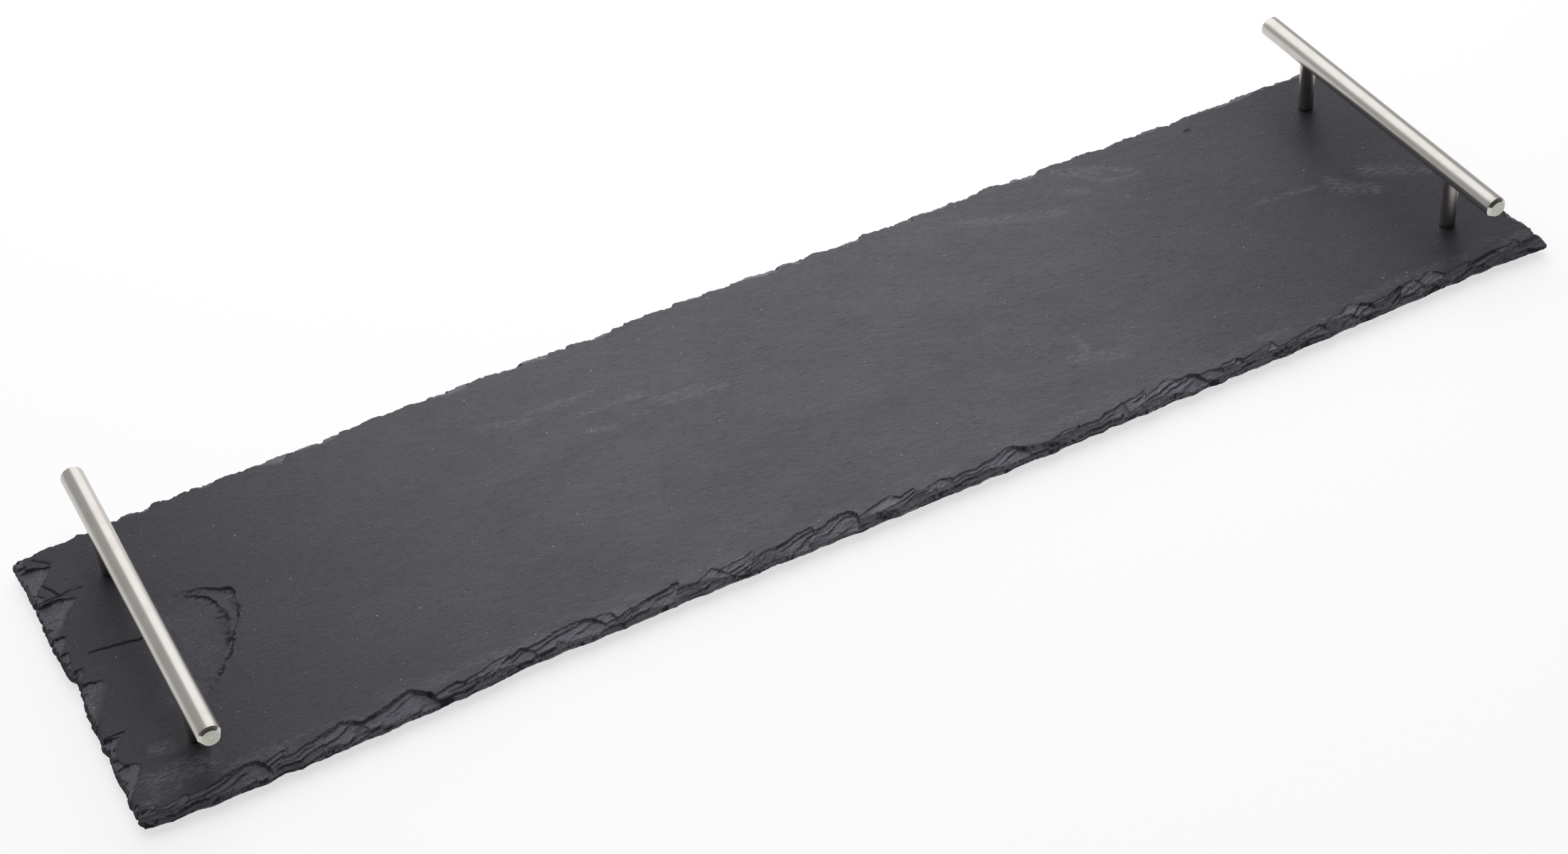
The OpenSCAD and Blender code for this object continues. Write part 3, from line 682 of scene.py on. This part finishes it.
def step_relief(x, y, stone):
    """Drop of the face in mm at the curved steps, and how cracked, how darkened by painted shade and how
    flaked it is there
    """
    face, crack_and_shade, flaked = np.zeros((3, len(x)))
    shift = noise_at(x, y, "step_sway") * 1.3 + noise_at(x, y, "step_jag") * 0.8
    step_x, step_y = x + shift, y + noise_at(x, y, "step_drift") * 1.2
    for line, depth in zip(STEPS_MM, (1.0, 0.8)):
        points = np.array(line)
        gap = np.min([segment_distance(step_x, step_y, ax, ay, bx, by)
                      for (ax, ay), (bx, by) in zip(line, line[1:])], axis=0)
        edge_x = np.interp(step_y, points[::-1, 1], points[::-1, 0])
        inside = np.where(step_x < edge_x, gap, -gap)
        ends = smooth(np.minimum(y - points[-1, 1], points[0, 1] - y), -1.0, 5.0)
        drop = smooth(inside, -0.1, 0.35) * (1 - smooth(inside, 2, 22))
        face += depth * drop * ends * stone.scar_step / MM
        thin = smooth(noise_at(x, y, "step_gaps"), -0.35, 0.1)
        # A dark line along the step: partly a crack, partly painted shade from its riser
        crack_and_shade = np.maximum(crack_and_shade, (1 - smooth(gap, 0.2, 0.9)) * ends * thin)
        # The stone is crumbled behind the step
        crumbled = smooth(inside, -0.2, 0.2) * (1 - smooth(inside, 1.2, 3.0)) * ends * thin
        crumbs = np.zeros(len(x))
        crumbs[crumbled > 0] = noise_at(x[crumbled > 0], y[crumbled > 0], "crumbs")
        face += crumbled * (CRUMB_MM * crumbs + CRUMB_BED_MM)
        flaked = np.maximum(flaked, crumbled * smooth(crumbs, -0.3, 0.4))
        # Painted shade in the hollows between the crumbs
        crack_and_shade = np.maximum(crack_and_shade, 0.8 * crumbled * smooth(-crumbs, 0.0, 0.4))
    return face, crack_and_shade, flaked


def place_slate(bm, rim, stone):
    """Move the unit grid onto the stone's outline and raise its face, rim scars and steps"""
    rng = np.random.RandomState(FACET_DRAWS)
    share = np.array([v.co[:2] for v in bm.verts])
    x, y, side_gap = fill_outline(share[:, 0], share[:, 1], rim)

    near = np.minimum.reduce(list(side_gap.values())) < RIM_BAND_MM
    warp = np.zeros((4, len(x)))
    for row, kind in enumerate(("wobble", "jag", "sway", "grain")):
        warp[row, near] = noise_at(x[near], y[near], kind)
    height = np.full(len(x), rim.top_z)
    for side, gap in side_gap.items():
        s = (x if side in ("front", "rear") else y) + 0.6 * warp[0] + 1.0 * warp[2]
        d = gap * (1 + 0.10 * warp[2]) + 0.3 * warp[1] + 0.4 * warp[2] + 0.16 * warp[3]
        d = np.where(gap < RIM_BAND_MM, np.maximum(d, 0), PAST_FACETS_MM)
        height = np.minimum(height, broken_height(side, s, d, rim, rng))
    broken = smooth(rim.top_z - height, 0.05, 0.5)
    # The broken treads are rough themselves
    combed = np.zeros(len(x))
    combed[near] = noise_at((x * 0.94 + y * 0.34)[near], (y * 0.94 - x * 0.34)[near] * 4.0, "comb")
    rough = 0.10 * warp[1] + 0.08 * warp[3] + 0.12 * combed
    height = np.minimum(height + broken * rough, rim.top_z)

    wave = noise_at(x, y * 1.6, "wave") + 0.5 * noise_at(x, y * 1.6, "ripple")
    face = np.clip(wave * 0.5 + 0.5, 0, 1) * stone.top_wave / MM
    steps, crack_and_shade, flaked = step_relief(x, y, stone)
    face += steps
    # The face stays flat under the posts
    for node in POSTS:
        middle, _, _ = middle_of(node + "_post")
        away = np.hypot(x - middle.x / MM, y - middle.y / MM)
        face *= smooth(away, *POST_FLAT_MM)
    height = height - face * (1 - broken)

    smear = 0.75 * flaked
    for ax, ay, bx, by, half in SMEARS_MM:
        away = segment_distance(x, y, ax, ay, bx, by)
        smear = np.maximum(smear, 1 - smooth(away, half * 0.2, half * 2.0))
    # Crushed stone along the ridge looks paler
    ridge = smooth(rim.top_z - height, 0.02, 0.15) * (1 - smooth(rim.top_z - height, 0.3, 0.7))
    smear = np.maximum(smear, 0.3 * ridge)
    band = smooth(side_gap["front"], 4, 6) * (1 - smooth(side_gap["front"], 8, 15))
    streaks = smooth(noise_at((x / 3)[near], y[near], "front_band"), -0.3, 0.3)
    smear[near] = np.maximum(smear[near], band[near] * streaks * 0.75)

    for ax, ay, bx, by, half in CRACKS_MM:
        away = segment_distance(x, y + 0.8 * noise_at(x, y, "crack_sway"), ax, ay, bx, by)
        crack_and_shade = np.maximum(crack_and_shade, 1 - smooth(away, half * 0.4, half * 1.2))
        height = height - GROOVE_MM * (1 - smooth(away, 0.1, half * 1.2))
    for i, vert in enumerate(bm.verts):
        vert.co = (x[i] * MM, y[i] * MM, height[i] * MM)
    bm.normal_update()
    steep = 1 - np.abs([vert.normal.z for vert in bm.verts])
    soft_side = np.minimum(side_gap["left"], side_gap["right"]) < side_gap["front"]
    depth = np.where(soft_side, STEEP_ENDS, STEEP_FRONT)
    depth = np.where(side_gap["rear"] < RIM_BAND_MM, STEEP_REAR, depth)
    # Painted shade on the steep faces, darkest along the front and lightest along the rear
    crack_and_shade = np.maximum(crack_and_shade, depth * smooth(steep, 0.34, 0.56))
    marks = {"smear": smear, "broken": broken, "crack_and_shade": crack_and_shade}
    layers = {name: bm.verts.layers.float.new(name) for name in marks}
    for i, vert in enumerate(bm.verts):
        for name, layer in layers.items():
            vert[layer] = marks[name][i]
    return layers


def close_slate(bm, rim, stone, layers):
    """Drop a rough wall from the rim and close the underside"""
    middle = Vector(((rim.low.x + rim.high.x) / 2, (rim.low.y + rim.high.y) / 2, 0)) * MM
    start = {v: v.co.z for v in bm.verts if v.is_boundary}
    origin = {v: v for v in start}
    for row, (share, inwards) in enumerate(WALL_ROWS):
        rim_edges = [e for e in bm.edges if e.is_boundary]
        grown = bmesh.ops.extrude_edge_only(bm, edges=rim_edges)["geom"]
        fresh = [g for g in grown if isinstance(g, bmesh.types.BMVert)]
        for vert in fresh:
            under = next(e.other_vert(vert) for e in vert.link_edges if e.other_vert(vert) in origin)
            top = origin[under]
            origin[vert] = top
            low = rim.low_z * MM
            vert.co.z = low + (start[top] - low) * share
            px, py, pz = vert.co / MM
            wander = 0.5 + 0.5 * noise.noise((px / 1.7, py / 1.7, pz / 0.8 + row * 5))
            # Inwards is towards the middle line of the nearer long side or end
            gap_x = min(abs(px - rim.low.x), abs(px - rim.high.x))
            gap_y = min(abs(py - rim.low.y), abs(py - rim.high.y))
            way = Vector((middle.x - vert.co.x, 0, 0))
            if gap_x >= gap_y:
                way = Vector((0, middle.y - vert.co.y, 0))
            roughness = stone.rim_roughness * 0.35 * wander * (row < 2)
            vert.co += way.normalized() * (inwards * MM * wander + roughness)
            vert[layers["broken"]] = 1.0
            front = gap_y < gap_x and py < 0
            # Painted shade on the wall: darker on its lower rows, and darker still along the front
            vert[layers["crack_and_shade"]] = (0.45 if front else 0.2) if share < 0.5 else 0.1
    bmesh.ops.contextual_create(bm, geom=[e for e in bm.edges if e.is_boundary])
    bmesh.ops.recalc_face_normals(bm, faces=bm.faces)


class SLATEBOARD_OT_slate(bpy.types.Operator):
    """Build the riven slate slab"""
    bl_idname = "slateboard.slate"
    bl_label = "Slate"

    def execute(self, context):
        stone = context.scene.slateboard_stone
        rim = Rim()
        bm = slate_grid(rim)
        layers = place_slate(bm, rim, stone)
        close_slate(bm, rim, stone, layers)
        for face in bm.faces:
            face.smooth = max(v[layers["broken"]] for v in face.verts) < 0.3
        if any(not e.is_manifold for e in bm.edges):
            raise RuntimeError("the slate isn't closed")
        piece = new_piece("riven_slab", bm, (riven_slate(stone),))
        dress(piece, "slate_board")
        return {"FINISHED"}


# ---- handles

# Turned rings in a bar's end face, in shares of its radius: where they lie and half their width
RING_SHARES, RING_HALF = (0.22, 0.5, 0.78), 0.05
# Where a bar's side is cut across, in shares of half its length
BAR_STOPS = (0.95, 0.7, 0.45, 0.2)
BAR_STEPS, POST_STEPS, FOOT_STEPS = 128, 96, 96
BAR_ROUND, POST_ROUND = 0.09 * MM, 0.08 * MM
POST_CHAMFER = 0.5 * MM
SADDLE_HALF = 8 * MM


class SLATEBOARD_OT_bars(bpy.types.Operator):
    """Build the two brushed handle bars"""
    bl_idname = "slateboard.bars"
    bl_label = "Handle bars"

    def execute(self, context):
        steel = context.scene.slateboard_steel
        places = [middle_of(end + "_handle_bar") for end in ENDS]
        brushed = brushed_steel("brushed_stainless_steel", steel.bar[:], (0.16, 26.0, 0.16), 0.31)
        turned = turned_steel(steel.bar_end[:], [place[0].x for place in places], places[0][0].z)
        cut = brushed_steel("cut_stainless_steel", steel.bar[:], (0.2, 6.0, 0.2), 0.11)
        for end, (middle, low, high) in zip(ENDS, places):
            radius, half = (high.z - low.z) / 2, (high.y - low.y) / 2
            face_r = radius - steel.chamfer
            rings = []
            for share in RING_SHARES:
                for step, depth in ((-RING_HALF, 0), (0, 1), (RING_HALF, 0)):
                    rings.append((face_r * (share + step), half - depth * steel.ring_depth))
            near_half = [(0, half)] + rings + [(face_r, half), (radius, half - steel.chamfer)]
            near_half += [(radius, half * share) for share in BAR_STOPS]
            profile = near_half + [(r, -a) for r, a in reversed(near_half)]
            bm = bmesh.new()
            spin_shell(bm, profile, middle, ALONG_BAR, BAR_STEPS)
            bevel_sharp(bm, BAR_ROUND, math.radians(30))
            for face in bm.faces:
                # The end face is turned, and the chamfer round it is freshly cut
                face.material_index = 0
                if max(abs(v.co.y - middle.y) for v in face.verts) > half - 0.5 * MM:
                    face.material_index = 1 if abs(face.normal.y) > 0.9 else 2
            shade_smooth(bm)
            piece = new_piece(end + "_bar_brushed", bm, (brushed, turned, cut))
            dress(piece, end + "_handle_bar")
            holes = []
            for place in POSTS:
                if place.startswith(end):
                    stud, stud_low, stud_high = middle_of(place + "_stud")
                    holes.append(rod_cutter(Vector((stud.x, stud.y, 0)), UP,
                                            (stud_high.x - stud_low.x) / 2 + HOLE_ROOM,
                                            low.z - 1 * MM, stud_high.z + PAST_END))
            carve(piece, holes)
        return {"FINISHED"}


class SLATEBOARD_OT_posts(bpy.types.Operator):
    """Build the four turned posts"""
    bl_idname = "slateboard.posts"
    bl_label = "Posts"

    def execute(self, context):
        steel = context.scene.slateboard_steel
        satin = brushed_steel("turned_satin_steel", steel.post[:], (2.2, 2.2, 0.22), 0.33)
        for place in POSTS:
            middle, low, high = middle_of(place + "_post")
            bar, bar_low, bar_high = middle_of(place.split("_")[0] + "_handle_bar")
            _, stud_low, stud_high = middle_of(place + "_stud")
            _, _, screw_high = middle_of(place + "_screw")
            radius = (high.x - low.x) / 2
            base = Vector((middle.x, middle.y, 0))
            bm = bmesh.new()
            levels = [low.z + POST_CHAMFER + (high.z - low.z - POST_CHAMFER) * i / 8 for i in range(9)]
            profile = [(0, low.z), (radius - POST_CHAMFER, low.z), *((radius, z) for z in levels),
                       (0, high.z)]
            spin_shell(bm, profile, base, UP, POST_STEPS)
            bevel_sharp(bm, POST_ROUND, math.radians(30))
            shade_smooth(bm)
            piece = new_piece(place + "_post_turned", bm, (satin,))
            dress(piece, place + "_post")
            # The bar's saddle, the stud's hole and the screw's hole
            hole_r = (stud_high.x - stud_low.x) / 2 + HOLE_ROOM
            carve(piece, [
                rod_cutter(Vector((bar.x, middle.y, bar.z)), ALONG_BAR,
                           (bar_high.z - bar_low.z) / 2 + HOLE_ROOM, -SADDLE_HALF, SADDLE_HALF, BAR_STEPS),
                rod_cutter(base, UP, hole_r, stud_low.z - PAST_END, bar.z),
                rod_cutter(base, UP, hole_r, low.z - 1 * MM, screw_high.z + PAST_END)])
        return {"FINISHED"}


# How much narrower a foot is at its base, and the lip at its top: its width, its place and its rise
FOOT_TAPER = 1 * MM
LIP_OUT, LIP_DOWN, LIP_RISE = 0.06 * MM, 0.25 * MM, 0.12 * MM


class SLATEBOARD_OT_fittings(bpy.types.Operator):
    """Build the rubber feet, and finish the studs, screws and washers"""
    bl_idname = "slateboard.fittings"
    bl_label = "Fittings"

    def execute(self, context):
        steel, fittings = context.scene.slateboard_steel, context.scene.slateboard_fittings
        plain = brushed_steel("rolled_stainless_steel", steel.fastener[:], (1.2, 1.2, 0.12), 0.32)
        fibre = matt_stock("vulcanised_fibre", fittings.fibre[:], 0.35, 0.62, 0.18)
        rubber = matt_stock("moulded_nitrile_rubber", fittings.rubber[:], 0.25, 0.72, 0.15)
        for place in POSTS:
            for kind in PLAIN_FASTENERS + ("fibre_washer",):
                node = bpy.data.objects[place + "_" + kind]
                node.data.materials.clear()
                node.data.materials.append(fibre if kind == "fibre_washer" else plain)
            middle, low, high = middle_of(place + "_foot")
            top_r = (high.x - low.x) / 2
            base_r, round_r = top_r - FOOT_TAPER, fittings.foot_round
            curve = [(base_r - round_r * (1 - math.sin(turn)), low.z + round_r * (1 - math.cos(turn)))
                     for turn in (math.radians(15 * i) for i in range(7))]
            rim_z = high.z - LIP_DOWN
            profile = [(0, low.z), *curve, (top_r - LIP_OUT, rim_z), (top_r, rim_z + LIP_RISE),
                       (top_r, high.z), (0, high.z)]
            bm = bmesh.new()
            spin_shell(bm, profile, Vector((middle.x, middle.y, 0)), UP, FOOT_STEPS)
            shade_smooth(bm)
            piece = new_piece(place + "_foot_moulded", bm, (rubber,))
            dress(piece, place + "_foot")
        return {"FINISHED"}


# ---- stage

CAMERA_PLACE = (-0.37323, -0.79228, 0.75867)
CAMERA_TURN_DEG = (48.66799, 3.81619, -27.98887)
CAMERA_LENS_MM = 67.82

# Soft boxes: place, the point each faces, its sides, its colour and which setting is its brightness
SOFT_BOXES = (
    ("back_softbox", (0.27, 0.68, 0.55), (0.19, 0.0, 0.0), (1.0, 1.1), linear("#F8F8F9")[:3], "back"),
    ("top_softbox", (-0.1, -0.1, 1.7), (-0.05, 0.0, 0.0), (1.4, 1.0), (1.0, 1.0, 1.0), "top"),
)
FLOOR_HALF = 6.0
# Share of the room's light on the camera's side
CAMERA_SIDE = 0.15


class SLATEBOARD_OT_stage(bpy.types.Operator):
    """Set up the floor, the soft lights and the camera"""
    bl_idname = "slateboard.stage"
    bl_label = "Stage"

    def execute(self, context):
        scene, stage = context.scene, context.scene.slateboard_stage
        material, tree = new_material("pale_floor")
        # The camera sees the floor glow, and so do rays that steel throws back or glass lets through
        seen = add_node(tree, "LightPath").outputs
        any_ray = seen["Is Camera Ray"]
        for ray in ("Is Glossy Ray", "Is Transmission Ray"):
            any_ray = add_node(tree, "Math", {0: any_ray, 1: seen[ray]}, operation="MAXIMUM")
        level = add_node(tree, "Math", {0: any_ray, 1: stage.glow}, operation="MULTIPLY")
        glow = add_node(tree, "Emission", {"Color": (1, 1, 1, 1), "Strength": level})
        matt = add_node(tree, "BsdfDiffuse", {"Color": stage.floor[:]})
        both = add_node(tree, "AddShader", {0: matt, 1: glow})
        add_node(tree, "OutputMaterial", {"Surface": both})
        bm = bmesh.new()
        bmesh.ops.create_grid(bm, x_segments=4, y_segments=4, size=FLOOR_HALF)
        floor = new_piece("floor", bm, (material,))

        for name, place, target, (wide, deep), colour, setting in SOFT_BOXES:
            lamp = bpy.data.lights.new(name, "AREA")
            lamp.shape, lamp.size, lamp.size_y = "RECTANGLE", wide, deep
            lamp.color = colour
            lamp.energy = getattr(stage, setting) * math.pi * wide * deep
            holder = bpy.data.objects.new(name, lamp)
            holder.visible_camera = False
            scene.collection.objects.link(holder)
            way = Vector(target) - Vector(place)
            turn = way.to_track_quat("-Z", "Y").to_matrix().to_4x4()
            holder.matrix_world = Matrix.Translation(place) @ turn

        world = bpy.data.worlds.new("studio")
        world.use_nodes = True
        world.node_tree.nodes.clear()
        # The room is darker on the camera's side
        aim = add_node(world.node_tree, "TexCoord").outputs["Generated"]
        aim = add_node(world.node_tree, "SeparateXYZ", {0: aim})
        level = add_node(world.node_tree, "MapRange", {
            0: aim.outputs[1], 1: -0.7, 2: 0.6, 3: stage.room * CAMERA_SIDE, 4: stage.room})
        sky = add_node(world.node_tree, "Background", {"Color": (1, 1, 1, 1), "Strength": level})
        add_node(world.node_tree, "OutputWorld", {"Surface": sky})
        scene.world = world

        lens = bpy.data.cameras.new("camera")
        lens.sensor_width, lens.lens = 36, CAMERA_LENS_MM
        lens.clip_start, lens.clip_end = 0.05, 50
        camera = bpy.data.objects.new("camera", lens)
        camera.location = CAMERA_PLACE
        camera.rotation_euler = [math.radians(turn) for turn in CAMERA_TURN_DEG]
        scene.collection.objects.link(camera)
        scene.camera = camera
        scene.view_settings.view_transform = "Standard"
        return {"FINISHED"}


class SLATEBOARD_PT_panel(bpy.types.Panel):
    """Sizes, colours and the steps that build the board"""
    bl_idname = "SLATEBOARD_PT_panel"
    bl_label = "Slate board"
    bl_space_type = "VIEW_3D"
    bl_region_type = "UI"
    bl_category = "Slate board"

    def draw(self, context):
        for name in SETTINGS:
            group = getattr(context.scene, name)
            box = self.layout.box()
            for prop in group.bl_rna.properties:
                if prop.identifier in group.__annotations__:
                    box.prop(group, prop.identifier)
        for operator in OPERATORS:
            self.layout.operator(operator.bl_idname)


SETTINGS = {"slateboard_stone": SLATEBOARD_PG_stone, "slateboard_steel": SLATEBOARD_PG_steel,
            "slateboard_fittings": SLATEBOARD_PG_fittings, "slateboard_stage": SLATEBOARD_PG_stage}
OPERATORS = (SLATEBOARD_OT_slate, SLATEBOARD_OT_bars, SLATEBOARD_OT_posts, SLATEBOARD_OT_fittings,
             SLATEBOARD_OT_stage)


def register():
    for made in (*SETTINGS.values(), *OPERATORS, SLATEBOARD_PT_panel):
        bpy.utils.register_class(made)
    for name, group in SETTINGS.items():
        setattr(bpy.types.Scene, name, bpy.props.PointerProperty(type=group))


def unregister():
    for name in SETTINGS:
        delattr(bpy.types.Scene, name)
    for made in (SLATEBOARD_PT_panel, *reversed(OPERATORS), *reversed(list(SETTINGS.values()))):
        bpy.utils.unregister_class(made)


def main():
    register()
    bpy.ops.slateboard.slate()
    bpy.ops.slateboard.bars()
    bpy.ops.slateboard.posts()
    bpy.ops.slateboard.fittings()
    bpy.ops.slateboard.stage()


if __name__ == "__main__":
    main()
